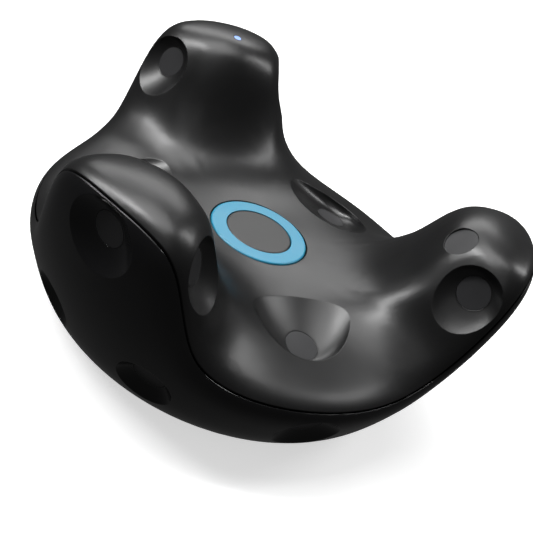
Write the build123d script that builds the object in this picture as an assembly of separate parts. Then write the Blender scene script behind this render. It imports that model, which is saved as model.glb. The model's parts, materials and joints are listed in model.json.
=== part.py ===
from build123d import *
import math
import os

import numpy as np

# Three-pronged motion tracker puck: a dished bottom shell, a crowned top shell, and what they hold.
# Millimetres. The origin is the centre of the resting face and +Z points up through the power button.
# +Y points at the prong with the status light. The three prongs stand 120 degrees apart.

# ------------------------------------------------------------------ driving dimensions
# overall form
PRONG_TOP_Z = 43.3
PRONG_ANGLES = (90, 210, 330)
VALLEY_ANGLES = (30, 150, 270)
FORM_RING_Z = 8.0
FORM_RING_RADIUS = 22.0

# dished underside, a body of revolution
DISH_BASE_RADIUS = 33.8
DISH_FLANK_ANGLE = 53.6
DISH_TIP_RADIUS = 49.45
DISH_TIP_LEAN = 0.055
DISH_TIP_LEAN_Z = 30.0
DISH_FLANK_ROUND = 38.4
DISH_BASE_ROUND = 11.5
BASE_Z = 0.6

# crowned top: a low hub with three prongs blended into it
HUB_Z = 22.5
HUB_DROP = 5.3
HUB_DROP_RADIUS = 41.3
HUB_DROP_POWER = 2.6
RAMP_START = 21.4
RAMP_END = 30.7
PRONG_TOP_SLOPE = 0.066
PRONG_TOP_ROUND = 10.0
PRONG_HALF_WIDTH = 15.4
PRONG_WIDTH_AT = 45.0
PRONG_TAPER = -0.245
PRONG_DRAFT = 0.106
PRONG_FLARE = 0.09
PRONG_EDGE_ROUND = 17.0
PRONG_BACK = 5.0
PRONG_BACK_ROUND = 12.0
RIDGE_SOFTNESS = 1.0
HUB_BLEND = 18.4
RIM_ROUND = 6.0
RIM_ROUND_RISE = 3.5

# casing walls
CROWN_WALL = 1.8
DISH_WALL = 1.25
SEAM_GAP = 0.25
RIM_LIP = 0.5
FLOOR_TOP_Z = 3.2
FLOOR_RADIUS = 30.0

# sensor windows; each row holds the azimuths it repeats at, the turn away from them, the height
# angle seen from the form ring, the window's depth, and the dimple's radius and shift at the surface
TOP_SENSORS = (
    (PRONG_ANGLES, 20.2, 59.6, 2.2, 6.4, -1.5),
    (PRONG_ANGLES, -20.2, 59.6, 2.2, 6.4, -1.5),
    (VALLEY_ANGLES, 0.0, 70.9, 2.2, 8.0, 3.6),
    (PRONG_ANGLES[1:], -10.0, 73.0, 0.6, 0.0, 0.0),
)
BOTTOM_SENSORS = (
    (PRONG_ANGLES, 0.0, 48.4, 2.2, 7.2, -0.5),
    (PRONG_ANGLES, 17.0, 8.0, 2.0, 5.4, 0.0),
    (PRONG_ANGLES, -17.0, 8.0, 2.0, 5.4, 0.0),
    (VALLEY_ANGLES, 0.0, 7.5, 2.0, 6.0, 0.0),
)
WINDOW_RADIUS = 2.9
WINDOW_THICKNESS = 0.8
FIT = 0.05
DIMPLE_STEPS = (0.0, 0.4, 1.0, 1.7, 2.6)
DIMPLE_RIM = 0.25
FLUSH_DEPTH = 0.7
DIODE_SIZE = 2.4
DIODE_HEIGHT = 0.9
SENSOR_HOLE_RADIUS = 1.8
SENSOR_BOSS_WALL = 1.6
SENSOR_BOSS_DEPTH = 2.0
SENSOR_BOARD_RADIUS = 3.6
SENSOR_BOARD_THICKNESS = 0.6
SENSOR_BOARD_ROOM = 1.2

# power button
BUTTON_RADIUS = 9.2
BUTTON_GAP = 0.2
BUTTON_RING_WIDTH = 2.9
BUTTON_PROUD = 0.25
BUTTON_EDGE = 0.35
BUTTON_TRAVEL = 0.5
FLANGE_RADIUS = 10.6
FLANGE_THICKNESS = 0.9
FLANGE_CLEARANCE = 0.25
GUIDE_RADIUS = 13.0
GUIDE_HEIGHT = 2.1
GUIDE_DROP = 0.45
GUIDE_LIP = 0.8

# mounting interface in the base: a quarter-inch tripod thread and an anti-twist pin recess
THREAD_RADIUS = 2.56
THREAD_LENGTH = 6.4
INSERT_RADIUS = 5.0
INSERT_FLANGE_RADIUS = 6.2
INSERT_FLANGE_TOP_Z = 1.5
INSERT_TOP_Z = 7.2
INSERT_BOSS_RADIUS = 7.6
PIN_RECESS_RADIUS = 2.55
PIN_RECESS_Y = -13.8
PIN_RECESS_DEPTH = 4.6
PIN_BOSS_RADIUS = 4.0
PIN_BOSS_ROOF = 1.2
PAD_INNER_RADIUS = 17.5
PAD_OUTER_RADIUS = 27.5
PAD_RECESS_Z = 1.6
CONTACT_Y = 12.5
CONTACT_PITCH = 2.5
CONTACT_COUNT = 6
CONTACT_RADIUS = 0.8
CONTACT_TOP_Z = 4.9

# inner stack
BATTERY_SIZE = (30.0, 34.0, 5.2)
BATTERY_Z = 8.8
BATTERY_PAD = 0.6
TRAY_MARGIN = 0.9
TRAY_FLOOR = 0.7
BOARD_Z = 15.2
BOARD_TOP_Z = 16.2
BOARD_RADIUS = 20.5
BOARD_NOTCH_RADIUS = 5.8
BOARD_NOTCH_AT = 25.0
# each chip's length, width, height and place on the board
CHIPS = (
    (7.0, 7.0, 0.9, -9.0, 6.0),
    (5.0, 5.0, 0.8, -11.0, -3.5),
    (4.0, 3.0, 0.8, 0.0, 11.0),
    (3.0, 3.0, 1.0, 0.0, -9.5),
)
CAN_SIZE = (9.0, 11.0, 1.6)
CAN_PLACE = (9.5, 5.5)
CAN_SHEET = 0.2
ANTENNA_PLACE = (-16.8, 1.0)
ANTENNA_SIZE = (2.2, 12.0)
ANTENNA_SHEET = 0.3
ANTENNA_LIFT = 1.5
SWITCH_SIZE = 6.0
SWITCH_HEIGHT = 1.6
PLUNGER_RADIUS = 1.5
PLUNGER_TOP_Z = 19.1
PLUNGER_BOTTOM_Z = 17.2
STEM_RADIUS = 1.6
LEAD_PLACE = (10.0, -18.3)
LOBE_WIDTH = 12.0
LOBE_REACH = 30.0
SCREW_AT = 24.0
SCREW_RADIUS = 1.25
SCREW_HEAD_RADIUS = 2.3
SCREW_HEAD_HEIGHT = 1.3
SCREW_LENGTH = 19.0
POST_RADIUS = 3.4
USB_BOARD_Z = 9.0
USB_BOARD_THICKNESS = 0.8
USB_WIDTH = 7.8
USB_HEIGHT = 2.8
USB_DEPTH = 5.6
USB_FRONT_Y = 38.4
USB_OPENING_GAP = 0.5
USB_POST_RADIUS = 1.2
USB_POST_PLACES = ((-5.0, 30.5), (5.0, 30.5))
FLEX_THICKNESS = 0.2
LEAD_RADIUS = 0.55
LIGHT_Y = 36.0
LIGHT_RADIUS = 0.7
LIGHT_BOARD_Z = 37.6
LIGHT_BOARD_THICKNESS = 0.8
LED_HEIGHT = 0.6
LIGHT_POST_RADIUS = 0.9
LIGHT_POST_X = 2.6

# lofting resolution
RING_POINTS = 72
RING_COUNT = 40
PROFILE_SAMPLES = 500
DISH_POINTS = 24
HIGHEST_RAY = 142.0
LOWEST_RAY = -75.0
DISH_OPEN_RAY = 66.0
FAR = 60.0
BISECTIONS = 36


# ------------------------------------------------------------------ the form, as smooth distance-like fields
def smooth_max(a, b, reach):
    """The larger of two fields, rounded off where they come within reach of each other."""
    closeness = np.maximum(reach - np.abs(a - b), 0.0) / reach
    return np.maximum(a, b) + closeness**3 * reach / 6.0


def smooth_min(a, b, reach):
    return -smooth_max(-a, -b, reach)


def dish(x, y, z):
    """The underside: a flat base, a conical flank and a nearly upright tip wall."""
    radius = np.hypot(x, y)
    flank = math.radians(DISH_FLANK_ANGLE)
    cone = (radius - DISH_BASE_RADIUS) * math.sin(flank) - z * math.cos(flank)
    tip = radius - DISH_TIP_RADIUS + DISH_TIP_LEAN * (z - DISH_TIP_LEAN_Z)
    side = smooth_max(cone, tip / math.hypot(1.0, DISH_TIP_LEAN), DISH_FLANK_ROUND)
    return smooth_max(side, -z, DISH_BASE_ROUND)


def prong(x, y, z, angle):
    """One prong: a ramp up from the hub, a gently sloping top and two drafted flanks."""
    along = x * math.cos(angle) + y * math.sin(angle)
    across = y * math.cos(angle) - x * math.sin(angle)
    below_top = PRONG_TOP_Z - z
    half_width = PRONG_HALF_WIDTH + PRONG_TAPER * (PRONG_WIDTH_AT - along) + PRONG_DRAFT * below_top
    half_width += PRONG_FLARE * np.clip(below_top, 0.0, None) ** 2 / 20.0
    flank = np.sqrt(across**2 + RIDGE_SOFTNESS) - half_width
    flank = flank / math.sqrt(1.0 + PRONG_TAPER**2 + PRONG_DRAFT**2)
    rise = (PRONG_TOP_Z - HUB_Z) / (RAMP_END - RAMP_START)
    ramp = (z - HUB_Z - rise * (along - RAMP_START)) / math.hypot(1.0, rise)
    top = (z - PRONG_TOP_Z + PRONG_TOP_SLOPE * (along - RAMP_END)) / math.hypot(1.0, PRONG_TOP_SLOPE)
    crest = smooth_max(ramp, top, PRONG_TOP_ROUND)
    shape = smooth_max(flank, crest, PRONG_EDGE_ROUND)
    return smooth_max(shape, -(along + PRONG_BACK), PRONG_BACK_ROUND)


def hub(x, y, z):
    """The middle of the top: nearly flat, falling away towards the rim."""
    reach = np.hypot(x, y) / HUB_DROP_RADIUS
    slope = HUB_DROP * HUB_DROP_POWER / HUB_DROP_RADIUS * reach ** (HUB_DROP_POWER - 1)
    return (z - HUB_Z + HUB_DROP * reach**HUB_DROP_POWER) / np.sqrt(1.0 + slope**2)


def crown(x, y, z):
    shape = hub(x, y, z)
    for angle in PRONG_ANGLES:
        shape = smooth_min(shape, prong(x, y, z, math.radians(angle)), HUB_BLEND)
    return shape


def body(x, y, z):
    """The whole outside, with the rim rounded more the higher it rises."""
    rounding = RIM_ROUND + RIM_ROUND_RISE * np.clip(z / PRONG_TOP_Z, 0.0, 1.2) ** 2
    return smooth_max(dish(x, y, z), crown(x, y, z), rounding)


def under_crown(wall):
    """The space below the crown, a wall's thickness inside it, dipping to a lip where it leaves the dish."""
    return lambda x, y, z: smooth_max(crown(x, y, z) + wall, dish(x, y, z) - RIM_LIP, RIM_ROUND)


# ------------------------------------------------------------------ fields to solids
def cast(field, azimuth, height):
    """Where rays from the form ring cross the field's zero surface, by bisection.

    Each ray starts on the ring at its own azimuth and stays in that upright plane; a height angle
    over a quarter turn leans back towards the axis.
    """
    outward = np.stack([np.cos(azimuth), np.sin(azimuth), np.zeros(azimuth.shape)], -1)
    start = FORM_RING_RADIUS * outward + np.array([0.0, 0.0, FORM_RING_Z])
    rays = outward * np.cos(height)[..., None]
    rays[..., 2] = np.sin(height)
    near = np.zeros(azimuth.shape)
    far = np.full(azimuth.shape, FAR)
    for _ in range(BISECTIONS):
        middle = (near + far) / 2.0
        points = start + rays * middle[..., None]
        inside = field(points[..., 0], points[..., 1], points[..., 2]) < 0
        near = np.where(inside, middle, near)
        far = np.where(inside, far, middle)
    return start + rays * near[..., None]


def even_profile(profile, start_radius, end_z):
    """The profile from start_radius down to end_z, as evenly spaced points."""
    radius = np.hypot(profile[:, 0], profile[:, 1])
    first = int(np.argmax(radius >= start_radius))
    share = (start_radius - radius[first - 1]) / (radius[first] - radius[first - 1])
    start = profile[first - 1] * (1 - share) + profile[first] * share
    last = int(np.max(np.nonzero(profile[:, 2] >= end_z)))
    share = (profile[last, 2] - end_z) / (profile[last, 2] - profile[last + 1, 2])
    end = profile[last] * (1 - share) + profile[last + 1] * share
    points = np.vstack([start, profile[first : last + 1], end])
    steps = np.linalg.norm(np.diff(points, axis=0), axis=1)
    travelled = np.concatenate([[0.0], np.cumsum(steps)])
    even = np.linspace(0.0, travelled[-1], RING_COUNT)
    return np.stack([np.interp(even, travelled, points[:, k]) for k in range(3)], -1)


def lofted(field, start_radius, end_z):
    """A closed solid through level rings of the field's surface, with flat ends."""
    azimuths = np.radians(np.arange(RING_POINTS) * 360.0 / RING_POINTS)
    heights = np.radians(np.linspace(HIGHEST_RAY, LOWEST_RAY, PROFILE_SAMPLES))
    azimuth_grid, height_grid = np.meshgrid(azimuths, heights, indexing="ij")
    surface = cast(field, azimuth_grid, height_grid)
    rings = np.array([even_profile(profile, start_radius, end_z) for profile in surface])
    rings[:, 0, 2] = rings[:, 0, 2].mean()
    rings[:, -1, 2] = end_z
    knots = [k / RING_POINTS for k in range(RING_POINTS + 1)]
    wires = []
    for k in range(RING_COUNT):
        points = [tuple(point) for point in rings[:, k]]
        wires.append(Wire([Edge.make_spline(points, periodic=True, parameters=knots)]))
    return Solid.make_loft(wires)


def dish_inside(offset):
    """The space inside the dish, offset inwards, open far above the prongs."""
    heights = np.radians(np.linspace(-90.0, DISH_OPEN_RAY, DISH_POINTS))
    points = cast(lambda x, y, z: dish(x, y, z) + offset, np.zeros(heights.shape), heights)
    curve = Edge.make_spline([(float(x), 0.0, float(z)) for x, _, z in points])
    low = (0.0, 0.0, float(points[0, 2]))
    high = (0.0, 0.0, float(points[-1, 2]))
    base = Edge.make_line(low, curve @ 0)
    lid = Edge.make_line(curve @ 1, high)
    axis = Edge.make_line(high, low)
    return Solid.revolve(Face(Wire([base, curve, lid, axis])), 360.0, Axis.Z)


def surface_frame(azimuth, height):
    """A plane on the outside, facing outwards, with its X direction level."""
    azimuth = math.radians(azimuth)
    point = cast(body, np.array([azimuth]), np.array([math.radians(height)]))[0]
    step = 0.1
    gradient = [float(body(*(point + move)) - body(*(point - move))) for move in np.eye(3) * step]
    level = Vector(-gradient[1], gradient[0], 0)
    return Plane(origin=tuple(point), x_dir=level, z_dir=tuple(gradient))


def cylinder(radius, height, x=0.0, y=0.0, z=0.0):
    return Solid.make_cylinder(radius, height, Plane((x, y, z)))


def ring(outer, inner, height, x=0.0, y=0.0, z=0.0):
    return cylinder(outer, height, x, y, z) - cylinder(inner, height, x, y, z)


def block(length, width, height, x=0.0, y=0.0, z=0.0):
    """A box centred on x and y, standing on z."""
    return Solid.make_box(length, width, height, Plane((x - length / 2, y - width / 2, z)))


def around(angle, radius):
    angle = math.radians(angle)
    return radius * math.cos(angle), radius * math.sin(angle)


def group(solids):
    return Compound(list(solids))


def as_solid(shape):
    """The single solid that a boolean leaves, without its wrapping."""
    solids = shape.solids()
    return max(solids, key=lambda solid: solid.volume)


# ------------------------------------------------------------------ sensor seats
def window_seats(rows):
    """Every window's front plane, with its dimple's depth, radius and shift."""
    seats = []
    for azimuths, turn, height, depth, radius, shift in rows:
        for azimuth in azimuths:
            plane = surface_frame(azimuth + turn, height).offset(-depth)
            seats.append((plane, depth, radius, shift))
    return seats


def bowl(plane, start_radius, depth, radius, shift):
    """A ball-like hollow over the plane that has the given radius and sideways shift at depth.

    The shift runs up the surface.
    """
    centre_height = (radius**2 + depth**2 - start_radius**2) / (2.0 * depth)
    ball_radius = math.hypot(centre_height, start_radius)
    rings = []
    for share in DIMPLE_STEPS:
        height = share * depth
        level = plane.offset(height)
        centre = level.origin + plane.y_dir * (shift * share)
        ring_radius = math.sqrt(ball_radius**2 - (centre_height - height) ** 2)
        circle = Edge.make_circle(ring_radius, Plane(origin=centre, x_dir=plane.x_dir, z_dir=plane.z_dir))
        rings.append(Wire([circle]))
    return Solid.make_loft(rings)


def tapered_cup(plane, start_radius, height, end_radius, shift):
    """A slanting cone from the plane up to the given height."""
    top = plane.offset(height)
    low_ring = Edge.make_circle(start_radius, plane)
    moved = Plane(origin=top.origin + plane.y_dir * shift, x_dir=plane.x_dir, z_dir=plane.z_dir)
    high_ring = Edge.make_circle(end_radius, moved)
    return Solid.make_loft([Wire([low_ring]), Wire([high_ring])], ruled=True)


def seat_cut(plane, depth, radius, shift):
    """The dimple, the window's pocket and the diode's hole behind it."""
    pocket = Solid.make_cylinder(WINDOW_RADIUS + FIT, WINDOW_THICKNESS + 1.0, plane.offset(-WINDOW_THICKNESS))
    behind = plane.offset(-SENSOR_BOSS_DEPTH - 3.0)
    hole = Solid.make_cylinder(SENSOR_HOLE_RADIUS, SENSOR_BOSS_DEPTH + 4.0, behind)
    room = plane.offset(-SENSOR_BOSS_DEPTH - SENSOR_BOARD_ROOM)
    board_room = Solid.make_cylinder(SENSOR_BOARD_RADIUS + 0.1, SENSOR_BOARD_ROOM, room)
    cut = pocket + hole + board_room
    if depth > FLUSH_DEPTH:
        rim = WINDOW_RADIUS + DIMPLE_RIM
        cut = cut + bowl(plane, rim, depth, radius, shift)
    return cut


def seat_boss(plane, depth, radius, shift):
    """The cup of material behind a dimple."""
    foot = WINDOW_RADIUS + SENSOR_BOSS_WALL
    back = plane.offset(-SENSOR_BOSS_DEPTH)
    boss = Solid.make_cylinder(foot, SENSOR_BOSS_DEPTH + depth, back)
    if depth > FLUSH_DEPTH:
        boss = boss + tapered_cup(back, foot, depth + SENSOR_BOSS_DEPTH, radius + SENSOR_BOSS_WALL, shift)
    return boss


def windows(seats):
    discs = []
    for plane, *_ in seats:
        back = plane.offset(-WINDOW_THICKNESS + FIT)
        discs.append(Solid.make_cylinder(WINDOW_RADIUS, WINDOW_THICKNESS - FIT, back))
    return group(discs)


def photodiodes(seats):
    chips = []
    for plane, *_ in seats:
        back = plane.offset(-SENSOR_BOSS_DEPTH - FIT)
        chip = Solid.make_box(DIODE_SIZE, DIODE_SIZE, DIODE_HEIGHT, back.shift_origin(back.origin))
        chips.append(chip.moved(Location(back.x_dir * -DIODE_SIZE / 2 + back.y_dir * -DIODE_SIZE / 2)))
    return group(chips)


def sensor_boards(seats):
    boards = []
    for plane, *_ in seats:
        back = plane.offset(-SENSOR_BOSS_DEPTH - FIT - SENSOR_BOARD_THICKNESS)
        boards.append(Solid.make_cylinder(SENSOR_BOARD_RADIUS, SENSOR_BOARD_THICKNESS, back))
    return group(boards)


# ------------------------------------------------------------------ casing
def bottom_shell(outer, room, seats):
    """The dish, with a thick floor, the mounting bosses, screw posts and sensor seats."""
    hollow = dish_inside(DISH_WALL)
    hollow -= cylinder(FLOOR_RADIUS, FLOOR_TOP_Z)
    hollow -= cylinder(INSERT_BOSS_RADIUS, INSERT_TOP_Z)
    hollow -= cylinder(PIN_BOSS_RADIUS, BASE_Z + PIN_RECESS_DEPTH + PIN_BOSS_ROOF, 0, PIN_RECESS_Y)
    for angle in PRONG_ANGLES:
        hollow -= cylinder(POST_RADIUS, BOARD_Z - FIT, *around(angle, SCREW_AT))
    for x, y in USB_POST_PLACES:
        hollow -= cylinder(USB_POST_RADIUS, USB_BOARD_Z - FIT, x, y)
    for seat in seats:
        hollow -= seat_boss(*seat) & room
    shell = outer - hollow
    for seat in seats:
        shell -= seat_cut(*seat)
    shell -= cylinder(INSERT_RADIUS + FIT, INSERT_TOP_Z)
    shell -= cylinder(INSERT_FLANGE_RADIUS + FIT, INSERT_FLANGE_TOP_Z + FIT)
    shell -= cylinder(PIN_RECESS_RADIUS, BASE_Z + PIN_RECESS_DEPTH, 0, PIN_RECESS_Y)
    shell -= ring(PAD_OUTER_RADIUS + FIT, PAD_INNER_RADIUS - FIT, PAD_RECESS_Z)
    shell -= contact_window(FIT)
    for angle in PRONG_ANGLES:
        x, y = around(angle, SCREW_AT)
        shell -= cylinder(SCREW_RADIUS + 0.2, BOARD_Z, x, y)
        shell -= cylinder(SCREW_HEAD_RADIUS + 0.1, PAD_RECESS_Z + SCREW_HEAD_HEIGHT + FIT, x, y)
    shell -= usb_slot(USB_OPENING_GAP, USB_FRONT_Y - USB_DEPTH, DISH_TIP_RADIUS)
    return as_solid(shell)


def top_shell(outer, hollow, seats, plateau_z):
    """The crown with its three prongs, the button's bore, screw posts and sensor seats."""
    for seat in seats:
        hollow -= seat_boss(*seat)
    for angle in PRONG_ANGLES:
        hollow -= cylinder(POST_RADIUS, PRONG_TOP_Z, *around(angle, SCREW_AT), BOARD_TOP_Z + FIT)
    light_board_top = LIGHT_BOARD_Z + LIGHT_BOARD_THICKNESS
    for x in (-LIGHT_POST_X, LIGHT_POST_X):
        hollow -= cylinder(LIGHT_POST_RADIUS, PRONG_TOP_Z, x, LIGHT_Y, light_board_top + FIT)
    shell = (outer & dish_inside(DISH_WALL + SEAM_GAP)) - hollow
    for seat in seats:
        shell -= seat_cut(*seat)
    for angle in PRONG_ANGLES:
        pilot_length = SCREW_LENGTH + PAD_RECESS_Z - BOARD_TOP_Z + 1.5
        shell -= cylinder(SCREW_RADIUS + 0.02, pilot_length, *around(angle, SCREW_AT), BOARD_TOP_Z)
    shell -= cylinder(BUTTON_RADIUS + BUTTON_GAP, 2.0 * CROWN_WALL + 2.0, z=plateau_z - 2.0 * CROWN_WALL)
    shell -= cylinder(LIGHT_RADIUS + FIT, 6.0, 0, LIGHT_Y, LIGHT_BOARD_Z)
    return as_solid(shell)


def friction_pad():
    pad = ring(PAD_OUTER_RADIUS, PAD_INNER_RADIUS, PAD_RECESS_Z - FIT)
    return pad.fillet(0.4, pad.edges().group_by(Axis.Z)[0])


# ------------------------------------------------------------------ mounting interface
def threaded_insert():
    """A flanged insert, flush with the pad's face, with a blind thread."""
    insert = cylinder(INSERT_RADIUS, INSERT_TOP_Z)
    insert += cylinder(INSERT_FLANGE_RADIUS, INSERT_FLANGE_TOP_Z)
    return as_solid(insert - cylinder(THREAD_RADIUS, THREAD_LENGTH))


def contact_window(gap):
    """The stepped opening that the contact block drops into from inside."""
    length = CONTACT_PITCH * CONTACT_COUNT + 1.0
    lower = block(length + 2 * gap, 3.6 + 2 * gap, FLOOR_TOP_Z - BASE_Z + gap, 0, CONTACT_Y, BASE_Z)
    upper = block(length + 2.0 + 2 * gap, 5.0 + 2 * gap, 1.0, 0, CONTACT_Y, FLOOR_TOP_Z)
    return lower + upper


def contact_places():
    first = -CONTACT_PITCH * (CONTACT_COUNT - 1) / 2
    return [first + CONTACT_PITCH * k for k in range(CONTACT_COUNT)]


def contact_block():
    body_block = contact_window(0.0)
    for x in contact_places():
        body_block -= cylinder(CONTACT_RADIUS + FIT, CONTACT_TOP_Z, x, CONTACT_Y)
    return as_solid(body_block)


def contact_pads():
    height = CONTACT_TOP_Z - BASE_Z
    return group(cylinder(CONTACT_RADIUS, height, x, CONTACT_Y, BASE_Z) for x in contact_places())


# ------------------------------------------------------------------ power button
def power_button(ceiling_z, top_z):
    """A translucent ring with a flange that keeps it under the shell."""
    low = ceiling_z - FLANGE_CLEARANCE - FLANGE_THICKNESS
    button = cylinder(BUTTON_RADIUS, top_z - low, z=low)
    button = button.fillet(BUTTON_EDGE, button.edges().group_by(Axis.Z)[-1])
    button += cylinder(FLANGE_RADIUS, FLANGE_THICKNESS, z=low)
    return as_solid(button - cylinder(BUTTON_RADIUS - BUTTON_RING_WIDTH, 2.0 * top_z))


def button_centre(ceiling_z, top_z, plunger_z):
    """The opaque middle of the button, with the stem that presses the switch."""
    low = ceiling_z - FLANGE_CLEARANCE - FLANGE_THICKNESS
    radius = BUTTON_RADIUS - BUTTON_RING_WIDTH - FIT
    disc = cylinder(radius, top_z - low, z=low)
    disc = disc.fillet(BUTTON_EDGE, disc.edges().group_by(Axis.Z)[-1])
    return as_solid(disc + cylinder(STEM_RADIUS, low - plunger_z + FIT, z=plunger_z))


def button_guide(ceiling_z):
    """The ring that holds the button's flange square, with a lip below it."""
    top_z = ceiling_z - GUIDE_DROP
    guide = ring(GUIDE_RADIUS, FLANGE_RADIUS + BUTTON_GAP, GUIDE_HEIGHT, z=top_z - GUIDE_HEIGHT)
    return as_solid(guide + ring(GUIDE_RADIUS, BUTTON_RADIUS, GUIDE_LIP, z=top_z - GUIDE_HEIGHT))


def switch_body():
    body_block = block(SWITCH_SIZE, SWITCH_SIZE, SWITCH_HEIGHT, z=BOARD_TOP_Z + FIT)
    well_z = PLUNGER_BOTTOM_Z - BUTTON_TRAVEL - 0.1
    return as_solid(body_block - cylinder(PLUNGER_RADIUS + FIT, SWITCH_HEIGHT, z=well_z))


def switch_plunger():
    return cylinder(PLUNGER_RADIUS, PLUNGER_TOP_Z - PLUNGER_BOTTOM_Z, z=PLUNGER_BOTTOM_Z)


# ------------------------------------------------------------------ inner stack
def lobed(radius, width, reach, height, z):
    """A disc with an arm towards each prong."""
    plate = cylinder(radius, height, z=z)
    for angle in PRONG_ANGLES:
        arm = Solid.make_box(reach, width, height, Plane((0, -width / 2, z)))
        plate += arm.rotate(Axis.Z, angle)
    return plate


def main_board():
    board = lobed(BOARD_RADIUS, LOBE_WIDTH, LOBE_REACH, BOARD_TOP_Z - BOARD_Z, BOARD_Z)
    for angle in VALLEY_ANGLES:
        board -= cylinder(BOARD_NOTCH_RADIUS, BOARD_TOP_Z, *around(angle, BOARD_NOTCH_AT))
    for angle in PRONG_ANGLES:
        board -= cylinder(SCREW_RADIUS + 0.15, BOARD_TOP_Z, *around(angle, SCREW_AT))
    x, y = LEAD_PLACE
    board -= block(5.0, 3.0, BOARD_TOP_Z, x, y - 1.2)
    return as_solid(board)


def processors():
    return group(block(*chip, BOARD_TOP_Z + FIT) for chip in CHIPS)


def shield_can():
    """A pressed steel can, open underneath."""
    length, width, height = CAN_SIZE
    can = block(length, width, height, *CAN_PLACE, BOARD_TOP_Z + FIT)
    can = can.fillet(0.5, can.edges().filter_by(Axis.Z))
    inside = block(length - 2 * CAN_SHEET, width - 2 * CAN_SHEET, height - CAN_SHEET, *CAN_PLACE, BOARD_TOP_Z)
    return as_solid(can - inside)


def antenna():
    """A stamped strip on two feet, near the board's edge."""
    width, length = ANTENNA_SIZE
    x, y = ANTENNA_PLACE
    strip = block(width, length, ANTENNA_SHEET, x, y, BOARD_TOP_Z + ANTENNA_LIFT)
    for foot_y in (y - length / 2 + ANTENNA_SHEET, y + length / 2 - ANTENNA_SHEET):
        strip += block(width, 2 * ANTENNA_SHEET, ANTENNA_LIFT, x, foot_y, BOARD_TOP_Z + FIT)
    return as_solid(strip)


def battery():
    length, width, height = BATTERY_SIZE
    cell = block(length, width, height, z=BATTERY_Z)
    return cell.fillet(1.2, cell.edges().filter_by(Axis.Y))


def battery_pad():
    length, width, _ = BATTERY_SIZE
    return block(length - 4.0, width - 4.0, BATTERY_PAD - 2 * FIT, z=BATTERY_Z - BATTERY_PAD + FIT)


def battery_tray():
    """A shallow tray on four feet that stand on the floor."""
    length, width, height = BATTERY_SIZE
    floor_z = BATTERY_Z - BATTERY_PAD - TRAY_FLOOR
    tray = block(length + 2 * TRAY_MARGIN, width + 2 * TRAY_MARGIN, TRAY_FLOOR + BATTERY_PAD + 2.2, z=floor_z)
    tray -= block(length + 0.4, width + 0.4, height, z=floor_z + TRAY_FLOOR)
    for x in (-1, 1):
        for y in (-1, 1):
            tray += cylinder(1.6, floor_z - FLOOR_TOP_Z, x * 12.5, y * 14.0, FLOOR_TOP_Z + FIT)
    tray -= block(5.0, 4.0, 3.0, LEAD_PLACE[0], -BATTERY_SIZE[1] / 2 - TRAY_MARGIN, BATTERY_Z)
    return as_solid(tray)


def battery_connector():
    x, y = LEAD_PLACE
    return block(5.0, 4.0, 2.2, x, y + 3.6, BOARD_TOP_Z + FIT)


def battery_leads():
    """Two wires from the cell's end, up through the board's notch, to the connector."""
    x, y = LEAD_PLACE
    edge_y = -BATTERY_SIZE[1] / 2 - FIT
    wires = []
    for side in (-1, 1):
        lead_x = x + side * 0.9
        stops = ((edge_y, 12.4), (y - 1.0, 13.2), (y - 1.2, 16.0), (y + 1.5, 17.3))
        points = [(lead_x, stop_y, stop_z) for stop_y, stop_z in stops]
        path = Edge.make_spline(points, tangents=[(0, -1, 0), (0, 1, 0)])
        section = Face(Wire([Edge.make_circle(LEAD_RADIUS, Plane(origin=path @ 0, z_dir=path % 0))]))
        wires.append(as_solid(Solid.sweep(section, path)))
    return group(wires)


def contact_flex():
    """A ribbon from the contacts, out past the battery and up to the board."""
    flat = block(8.0, 7.6, FLEX_THICKNESS, 0, CONTACT_Y + 2.9, CONTACT_TOP_Z + FIT)
    rise = block(8.0, FLEX_THICKNESS, BOARD_Z - CONTACT_TOP_Z - 2 * FIT, 0, 19.1, CONTACT_TOP_Z + FIT)
    return as_solid(flat + rise)


def usb_flex():
    """A short ribbon from the charging board up to the main board."""
    low = USB_BOARD_Z + USB_BOARD_THICKNESS + FIT
    return block(3.0, FLEX_THICKNESS, BOARD_Z - FIT - low, 4.3, 29.2, low)


def sensor_flexes():
    """Ribbons that rise from the board's arms into the prongs."""
    ribbons = []
    for angle in PRONG_ANGLES:
        ribbon = block(FLEX_THICKNESS, 7.0, 12.0, 29.5, 0, BOARD_TOP_Z + FIT)
        ribbons.append(ribbon.rotate(Axis.Z, angle))
    return group(ribbons)


def case_screws():
    screws = []
    for angle in PRONG_ANGLES:
        x, y = around(angle, SCREW_AT)
        screw = cylinder(SCREW_HEAD_RADIUS, SCREW_HEAD_HEIGHT, x, y, PAD_RECESS_Z + FIT)
        screw += cylinder(SCREW_RADIUS, SCREW_LENGTH, x, y, PAD_RECESS_Z + FIT)
        screw -= Solid.extrude(RegularPolygon(0.9, 6).face().moved(Location((x, y, 0))), Vector(0, 0, 2.4))
        screws.append(as_solid(screw))
    return group(screws)


# ------------------------------------------------------------------ charging port and status light
def usb_slot(gap, start_y, end_y):
    """The connector's outline, grown by a gap, as a bar along Y."""
    outline = RectangleRounded(USB_WIDTH + 2 * gap, USB_HEIGHT + 2 * gap, 0.9)
    middle_z = USB_BOARD_Z + USB_BOARD_THICKNESS + FIT + USB_HEIGHT / 2
    start = Plane(origin=(0, start_y, middle_z), x_dir=(1, 0, 0), z_dir=(0, 1, 0))
    return Solid.extrude(outline.face().moved(start.location), Vector(0, end_y - start_y, 0))


def usb_connector():
    shell = usb_slot(0.0, USB_FRONT_Y - USB_DEPTH, USB_FRONT_Y)
    shell -= usb_slot(-0.3, USB_FRONT_Y - USB_DEPTH + 0.6, USB_FRONT_Y + 1.0)
    tongue_z = USB_BOARD_Z + USB_BOARD_THICKNESS + FIT + USB_HEIGHT / 2
    shell += block(USB_WIDTH - 2.6, USB_DEPTH - 1.0, 0.7, 0, USB_FRONT_Y - USB_DEPTH / 2 - 0.3, tongue_z)
    return as_solid(shell)


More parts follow.
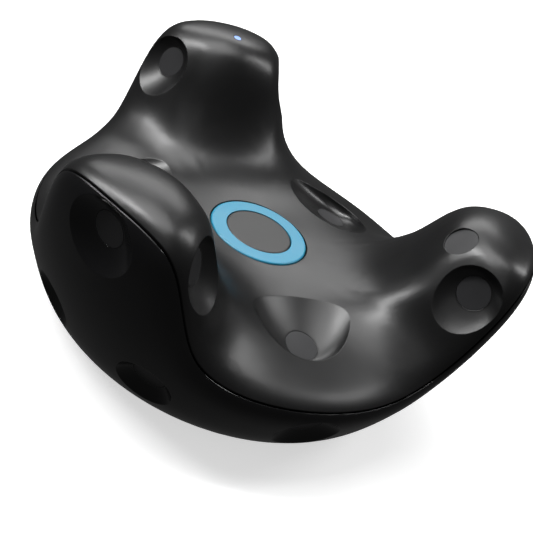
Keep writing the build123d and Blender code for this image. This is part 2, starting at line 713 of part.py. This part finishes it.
def usb_board():
    return block(10.4, 6.0, USB_BOARD_THICKNESS, 0, 30.6, USB_BOARD_Z)


def light_board():
    return block(7.0, 4.0, LIGHT_BOARD_THICKNESS, 0, LIGHT_Y, LIGHT_BOARD_Z)


def status_led():
    return block(1.6, 0.8, LED_HEIGHT, 0, LIGHT_Y, LIGHT_BOARD_Z + LIGHT_BOARD_THICKNESS + FIT)


def light_pipe(outer):
    """A clear rod from just above the diode to the prong's top."""
    low = LIGHT_BOARD_Z + LIGHT_BOARD_THICKNESS + LED_HEIGHT + 2 * FIT
    rod = cylinder(LIGHT_RADIUS, PRONG_TOP_Z, 0, LIGHT_Y, low) & outer
    return as_solid(rod)


# ------------------------------------------------------------------ the whole
def build():
    outer = lofted(body, 9.0, BASE_Z)
    hollow = lofted(under_crown(CROWN_WALL), 9.0, BASE_Z)
    room = lofted(under_crown(CROWN_WALL + 2 * SEAM_GAP), 9.0, BASE_Z)
    plateau_z = float(HUB_Z - HUB_DROP * (BUTTON_RADIUS / HUB_DROP_RADIUS) ** HUB_DROP_POWER)
    ceiling_z = plateau_z - CROWN_WALL
    top_z = plateau_z + BUTTON_PROUD
    top_seats = window_seats(TOP_SENSORS)
    bottom_seats = window_seats(BOTTOM_SENSORS)
    return {
        "bottom_shell": bottom_shell(outer, room, bottom_seats),
        "top_shell": top_shell(outer, hollow, top_seats, plateau_z),
        "friction_pad": friction_pad(),
        "threaded_insert": threaded_insert(),
        "contact_block": contact_block(),
        "contact_pads": contact_pads(),
        "power_button": power_button(ceiling_z, top_z),
        "button_centre": button_centre(ceiling_z, top_z, PLUNGER_TOP_Z),
        "button_guide": button_guide(ceiling_z),
        "switch_body": switch_body(),
        "switch_plunger": switch_plunger(),
        "main_board": main_board(),
        "processors": processors(),
        "shield_can": shield_can(),
        "antenna": antenna(),
        "battery": battery(),
        "battery_pad": battery_pad(),
        "battery_tray": battery_tray(),
        "battery_connector": battery_connector(),
        "battery_leads": battery_leads(),
        "contact_flex": contact_flex(),
        "usb_flex": usb_flex(),
        "sensor_flexes": sensor_flexes(),
        "case_screws": case_screws(),
        "usb_connector": usb_connector(),
        "usb_board": usb_board(),
        "light_board": light_board(),
        "status_led": status_led(),
        "light_pipe": light_pipe(outer),
        "windows_top": windows(top_seats),
        "windows_bottom": windows(bottom_seats),
        "photodiodes_top": photodiodes(top_seats),
        "photodiodes_bottom": photodiodes(bottom_seats),
        "sensor_boards_top": sensor_boards(top_seats),
        "sensor_boards_bottom": sensor_boards(bottom_seats),
    }


os.makedirs("parts", exist_ok=True)
for name, shape in build().items():
    shape.label = name
    export_step(shape, os.path.join("parts", name + ".step"))
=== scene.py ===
import json
import math

import bpy
from mathutils import Matrix, Vector

# Dresses the tracker puck's CAD nodes in procedural materials and photographs it on a white floor.

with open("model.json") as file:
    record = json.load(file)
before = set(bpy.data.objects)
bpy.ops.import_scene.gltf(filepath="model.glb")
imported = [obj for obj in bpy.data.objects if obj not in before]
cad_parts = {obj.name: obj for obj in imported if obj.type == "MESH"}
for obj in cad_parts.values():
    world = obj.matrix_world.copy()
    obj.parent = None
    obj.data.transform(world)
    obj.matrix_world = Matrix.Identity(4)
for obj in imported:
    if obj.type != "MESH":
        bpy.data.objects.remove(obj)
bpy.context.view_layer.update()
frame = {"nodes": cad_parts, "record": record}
NODES = frame["nodes"]
MM = 0.001

# noise scales, in waves per metre
MARKS_SCALE = 45.0
CLOUD_SCALE = 160.0
WEAVE_SCALE = 700.0
STREAK_SCALE = 900.0
FINE_SCALE = 3000.0

GRAIN_STRENGTH = 0.35
STREAK_DEPTH = 0.003 * MM
STREAK_STRENGTH = 0.3
POLISH_DEPTH = 0.002 * MM
EDGE_SAMPLES = 6

# how far the gloss wanders, as shares of a material's roughness
PLASTIC_GLOSS = (0.9, 1.12)
METAL_GLOSS = (0.8, 1.25)

# the part of a noise's range that carries its contrast
NOISE_LOW = 0.3
NOISE_HIGH = 0.7


# ------------------------------------------------------------------ node helpers
class Shader:
    """A node material being built, with short calls for the nodes used here."""

    def __init__(self, name):
        self.material = bpy.data.materials.new(name)
        self.material.use_nodes = True
        self.tree = self.material.node_tree
        self.tree.nodes.clear()
        self.output = self.node("ShaderNodeOutputMaterial")
        self.coords = self.node("ShaderNodeTexCoord").outputs["Object"]

    def node(self, kind, **settings):
        made = self.tree.nodes.new(kind)
        for key, value in settings.items():
            setattr(made, key, value)
        return made

    def link(self, source, target):
        self.tree.links.new(source, target)

    def noise(self, scale, detail=3.0, roughness=0.5):
        made = self.node("ShaderNodeTexNoise")
        made.inputs["Scale"].default_value = scale
        made.inputs["Detail"].default_value = detail
        made.inputs["Roughness"].default_value = roughness
        self.link(self.coords, made.inputs["Vector"])
        return made.outputs["Fac"]

    def spread(self, source, low, high):
        """Maps a noise value to the range low..high."""
        made = self.node("ShaderNodeMapRange")
        made.inputs["From Min"].default_value = NOISE_LOW
        made.inputs["From Max"].default_value = NOISE_HIGH
        made.inputs["To Min"].default_value = low
        made.inputs["To Max"].default_value = high
        self.link(source, made.inputs["Value"])
        return made.outputs["Result"]

    def tint(self, source, dark, light):
        """Mixes two colours by a noise value."""
        made = self.node("ShaderNodeMix", data_type="RGBA")
        made.inputs["A"].default_value = (*dark, 1.0)
        made.inputs["B"].default_value = (*light, 1.0)
        self.link(source, made.inputs["Factor"])
        return made.outputs["Result"]

    def bump(self, source, depth, strength=1.0, under=None):
        made = self.node("ShaderNodeBump")
        made.inputs["Distance"].default_value = depth
        made.inputs["Strength"].default_value = strength
        self.link(source, made.inputs["Height"])
        if under is not None:
            self.link(under, made.inputs["Normal"])
        return made.outputs["Normal"]

    def softened_edges(self, radius):
        made = self.node("ShaderNodeBevel", samples=EDGE_SAMPLES)
        made.inputs["Radius"].default_value = radius
        return made.outputs["Normal"]

    def surface(self, **inputs):
        """Finishes the material with one principled surface, each input a value, a colour or a socket."""
        made = self.node("ShaderNodeBsdfPrincipled")
        for key, value in inputs.items():
            socket = made.inputs[key.replace("_", " ")]
            if isinstance(value, bpy.types.NodeSocket):
                self.link(value, socket)
            elif isinstance(value, tuple):
                socket.default_value = (*value, 1.0)
            else:
                socket.default_value = value
        self.link(made.outputs["BSDF"], self.output.inputs["Surface"])
        return self.material


def moulded_plastic(
    name, dark, light, roughness, grain_mm=0.25, grain_depth=0.004, edge_mm=0.25, specular=0.5
):
    """Moulded plastic: a fine spark-eroded grain, faint handling marks and slightly rounded edges."""
    shader = Shader(name)
    glossy, dull = PLASTIC_GLOSS
    marks = shader.noise(MARKS_SCALE, 5.0, 0.6)
    grain = shader.noise(1.0 / (grain_mm * MM), 2.0)
    normal = shader.softened_edges(edge_mm * MM) if edge_mm else None
    normal = shader.bump(grain, grain_depth * MM, GRAIN_STRENGTH, normal)
    return shader.surface(
        Base_Color=shader.tint(shader.spread(marks, 0.0, 1.0), dark, light),
        Roughness=shader.spread(marks, roughness * glossy, roughness * dull),
        Specular_IOR_Level=specular,
        Normal=normal,
    )


def metal(name, dark, light, roughness, streak=1.0):
    """Bare metal with fine streaks in its colour, gloss and surface."""
    shader = Shader(name)
    glossy, dull = METAL_GLOSS
    streaks = shader.noise(STREAK_SCALE * streak, 4.0, 0.65)
    return shader.surface(
        Base_Color=shader.tint(shader.spread(streaks, 0.0, 1.0), dark, light),
        Roughness=shader.spread(streaks, roughness * glossy, roughness * dull),
        Metallic=1.0,
        Normal=shader.bump(streaks, STREAK_DEPTH, STREAK_STRENGTH),
    )


# ------------------------------------------------------------------ materials
def grey(level):
    return (level, level, level)


def casing_top():
    return moulded_plastic("satin_black", (0.005, 0.005, 0.0052), (0.008, 0.008, 0.0083), 0.33)


def casing_base():
    dark = (0.004, 0.004, 0.0045)
    light = (0.006, 0.006, 0.0065)
    return moulded_plastic("gloss_black", dark, light, 0.2, grain_mm=0.3, grain_depth=0.002)


def rubber():
    """The pad's soft rubber: dull, coarse and without much of a highlight."""
    look = {"grain_mm": 0.35, "grain_depth": 0.03, "edge_mm": 0.2, "specular": 0.3}
    return moulded_plastic("pad_rubber", grey(0.012), (0.022, 0.022, 0.021), 0.75, **look)


def chip_epoxy():
    look = {"grain_mm": 0.12, "grain_depth": 0.01, "edge_mm": 0.1}
    return moulded_plastic("epoxy_black", grey(0.014), grey(0.022), 0.55, **look)


def foam():
    look = {"grain_mm": 0.5, "grain_depth": 0.08, "edge_mm": 0.0, "specular": 0.2}
    return moulded_plastic("foam", grey(0.03), grey(0.06), 0.9, **look)


def button_blue():
    """Translucent blue plastic with a little light scattered inside it."""
    shader = Shader("button_blue")
    cloud = shader.noise(CLOUD_SCALE)
    polish = shader.noise(FINE_SCALE, 2.0)
    edges = shader.softened_edges(0.15 * MM)
    return shader.surface(
        Base_Color=shader.tint(cloud, (0.012, 0.18, 0.29), (0.018, 0.21, 0.33)),
        Roughness=shader.spread(cloud, 0.28, 0.36),
        Subsurface_Weight=0.15,
        Subsurface_Scale=0.6 * MM,
        Normal=shader.bump(polish, POLISH_DEPTH, 0.3, edges),
    )


def window_dark():
    """Infrared-clear plastic, almost black to the eye."""
    shader = Shader("window_dark")
    cloud = shader.noise(CLOUD_SCALE)
    return shader.surface(
        Base_Color=shader.tint(cloud, (0.02, 0.02, 0.021), (0.028, 0.028, 0.03)),
        Roughness=shader.spread(cloud, 0.34, 0.4),
        Coat_Weight=0.1,
        Coat_Roughness=0.2,
        Normal=shader.bump(shader.noise(FINE_SCALE), POLISH_DEPTH, 0.25),
    )


def light_pipe():
    """Clear plastic, lit blue from below."""
    shader = Shader("light_pipe")
    cloud = shader.noise(FINE_SCALE, 2.0)
    return shader.surface(
        Base_Color=shader.tint(cloud, (0.12, 0.25, 0.6), (0.2, 0.36, 0.75)),
        Roughness=0.2,
        Transmission_Weight=0.3,
        Emission_Color=(0.12, 0.25, 0.85),
        Emission_Strength=0.35,
    )


def circuit_board():
    """Green solder mask over a woven laminate."""
    shader = Shader("circuit_board")
    weave = shader.noise(WEAVE_SCALE, 4.0)
    return shader.surface(
        Base_Color=shader.tint(shader.spread(weave, 0.0, 1.0), (0.006, 0.06, 0.03), (0.012, 0.1, 0.05)),
        Roughness=shader.spread(weave, 0.3, 0.42),
        Normal=shader.bump(weave, 0.01 * MM, 0.5),
    )


MATERIALS = {
    "casing_top": casing_top,
    "casing_base": casing_base,
    "pad_rubber": rubber,
    "insert_brass": lambda: metal("nickel_plate", (0.5, 0.48, 0.44), (0.66, 0.63, 0.58), 0.28),
    "black_plastic": lambda: moulded_plastic("black_plastic", grey(0.012), grey(0.02), 0.5),
    "gold_contact": lambda: metal("gold_plate", (0.75, 0.5, 0.18), (0.9, 0.66, 0.3), 0.22),
    "button_blue": button_blue,
    "button_dark": lambda: moulded_plastic("button_dark", grey(0.012), grey(0.018), 0.4),
    "switch_white": lambda: moulded_plastic("nylon", (0.62, 0.61, 0.56), (0.72, 0.71, 0.67), 0.45),
    "circuit_board": circuit_board,
    "chip_black": chip_epoxy,
    "tinned_steel": lambda: metal("tinned_steel", grey(0.5), grey(0.66), 0.3),
    "cell_foil": lambda: metal("pouch_foil", (0.55, 0.56, 0.58), (0.7, 0.71, 0.73), 0.38, 0.4),
    "foam": foam,
    "lead_red": lambda: moulded_plastic("wire_red", (0.35, 0.01, 0.01), (0.45, 0.02, 0.02), 0.4),
    "flex_amber": lambda: moulded_plastic("polyimide", (0.42, 0.16, 0.02), (0.52, 0.22, 0.03), 0.3),
    "screw_steel": lambda: metal("black_oxide", (0.04, 0.04, 0.045), (0.07, 0.07, 0.075), 0.35),
    "led_white": lambda: moulded_plastic("led_body", (0.7, 0.72, 0.75), (0.8, 0.82, 0.85), 0.3),
    "light_pipe": light_pipe,
    "window_dark": window_dark,
}


def dress_nodes():
    """Gives every CAD node its slot's material."""
    made = {}
    for part in frame["record"]["subparts"]:
        slot = part["material_slot"]
        if slot not in made:
            made[slot] = MATERIALS[slot]()
        mesh = NODES[part["node"]].data
        mesh.materials.clear()
        mesh.materials.append(made[slot])


# ------------------------------------------------------------------ stage
FLOOR_RADIUS = 3.0
FLOOR_GLOW_NEAR = 0.6
FLOOR_GLOW_FAR = 1.0
FLOOR_FADE_START = 0.25
FLOOR_FADE_END = 0.9
FLOOR_WHITE = (0.8, 0.8, 0.8)
FLOOR_Z = -0.0001
BACKDROP = (1.0, 1.0, 1.0, 1.0)
SURROUNDINGS = (0.065, 0.065, 0.065, 1.0)
TARGET = Vector((0.0, 0.0, 0.02))

# each softbox's name, azimuth and height in degrees, distance, width and depth in metres, and watts
SOFTBOXES = (
    ("back_strip", 75.0, 38.0, 1.0, 0.9, 0.25, 3.5),
    ("overhead", 100.0, 80.0, 0.9, 0.6, 0.6, 5.5),
    ("left_strip", 150.0, 52.0, 0.9, 0.14, 0.8, 9.0),
    ("right_strip", 0.0, 42.0, 1.1, 0.16, 0.6, 3.0),
    ("front_fill", 240.0, 55.0, 1.2, 0.8, 0.8, 0.8),
)


def stage_floor():
    """A white floor that glows a little, more so far away, and takes only a light shadow."""
    place = (0.0, 0.0, FLOOR_Z)
    bpy.ops.mesh.primitive_circle_add(vertices=96, radius=FLOOR_RADIUS, fill_type="NGON", location=place)
    floor = bpy.context.object
    floor.name = "stage_floor"
    shader = Shader("stage_white")
    away = shader.node("ShaderNodeVectorMath", operation="LENGTH")
    shader.link(shader.coords, away.inputs[0])
    glow = shader.node("ShaderNodeMapRange")
    glow.inputs["From Min"].default_value = FLOOR_FADE_START
    glow.inputs["From Max"].default_value = FLOOR_FADE_END
    glow.inputs["To Min"].default_value = FLOOR_GLOW_NEAR
    glow.inputs["To Max"].default_value = FLOOR_GLOW_FAR
    shader.link(away.outputs["Value"], glow.inputs["Value"])
    white = shader.surface(
        Base_Color=FLOOR_WHITE,
        Roughness=0.9,
        Specular_IOR_Level=0.0,
        Emission_Color=(1.0, 1.0, 1.0),
        Emission_Strength=glow.outputs["Result"],
    )
    floor.data.materials.append(white)
    floor.visible_glossy = False
    floor.visible_diffuse = False


def direction(azimuth, height):
    """A unit vector from angles in degrees."""
    azimuth, height = math.radians(azimuth), math.radians(height)
    flat = math.cos(height)
    return Vector((flat * math.cos(azimuth), flat * math.sin(azimuth), math.sin(height)))


def softbox(name, azimuth, height, distance, width, depth, power):
    """An area light facing the puck."""
    light = bpy.data.lights.new(name, "AREA")
    light.shape = "RECTANGLE"
    light.size = width
    light.size_y = depth
    light.energy = power
    lamp = bpy.data.objects.new(name, light)
    lamp.location = TARGET + direction(azimuth, height) * distance
    lamp.rotation_euler = (TARGET - lamp.location).to_track_quat("-Z", "Y").to_euler()
    bpy.context.collection.objects.link(lamp)


def studio():
    """A backdrop that is white to the camera and nearly dark to the puck, and the softboxes."""
    world = bpy.data.worlds.new("studio")
    bpy.context.scene.world = world
    world.use_nodes = True
    tree = world.node_tree
    path = tree.nodes.new("ShaderNodeLightPath")
    mix = tree.nodes.new("ShaderNodeMix")
    mix.data_type = "RGBA"
    mix.inputs["A"].default_value = SURROUNDINGS
    mix.inputs["B"].default_value = BACKDROP
    tree.links.new(path.outputs["Is Camera Ray"], mix.inputs["Factor"])
    tree.links.new(mix.outputs["Result"], tree.nodes["Background"].inputs["Color"])
    for values in SOFTBOXES:
        softbox(*values)


# ------------------------------------------------------------------ camera
CAMERA_AZIMUTH = 236.84
CAMERA_HEIGHT = 30.95
CAMERA_ROLL = 24.9
CAMERA_DISTANCE = 0.1994
LENS = 74.0
LENS_SHIFT = (0.0235, -0.0446)
SENSOR_WIDTH = 36.0


def photo_camera():
    """The camera, rolled about its own axis so that the puck leans as it does in the photo."""
    back = direction(CAMERA_AZIMUTH, CAMERA_HEIGHT)
    azimuth = math.radians(CAMERA_AZIMUTH)
    right = Vector((-math.sin(azimuth), math.cos(azimuth), 0.0))
    up = back.cross(right)
    roll = math.radians(CAMERA_ROLL)
    rolled_right = right * math.cos(roll) + up * math.sin(roll)
    rolled_up = up * math.cos(roll) - right * math.sin(roll)
    data = bpy.data.cameras.new("photo_camera")
    data.lens = LENS
    data.sensor_width = SENSOR_WIDTH
    data.shift_x, data.shift_y = LENS_SHIFT
    data.clip_start = 0.01
    camera = bpy.data.objects.new("photo_camera", data)
    axes = Matrix((rolled_right, rolled_up, back)).transposed()
    camera.matrix_world = Matrix.Translation(TARGET + back * CAMERA_DISTANCE) @ axes.to_4x4()
    bpy.context.collection.objects.link(camera)
    bpy.context.scene.camera = camera


dress_nodes()
stage_floor()
studio()
photo_camera()
bpy.context.scene.view_settings.view_transform = "Standard"
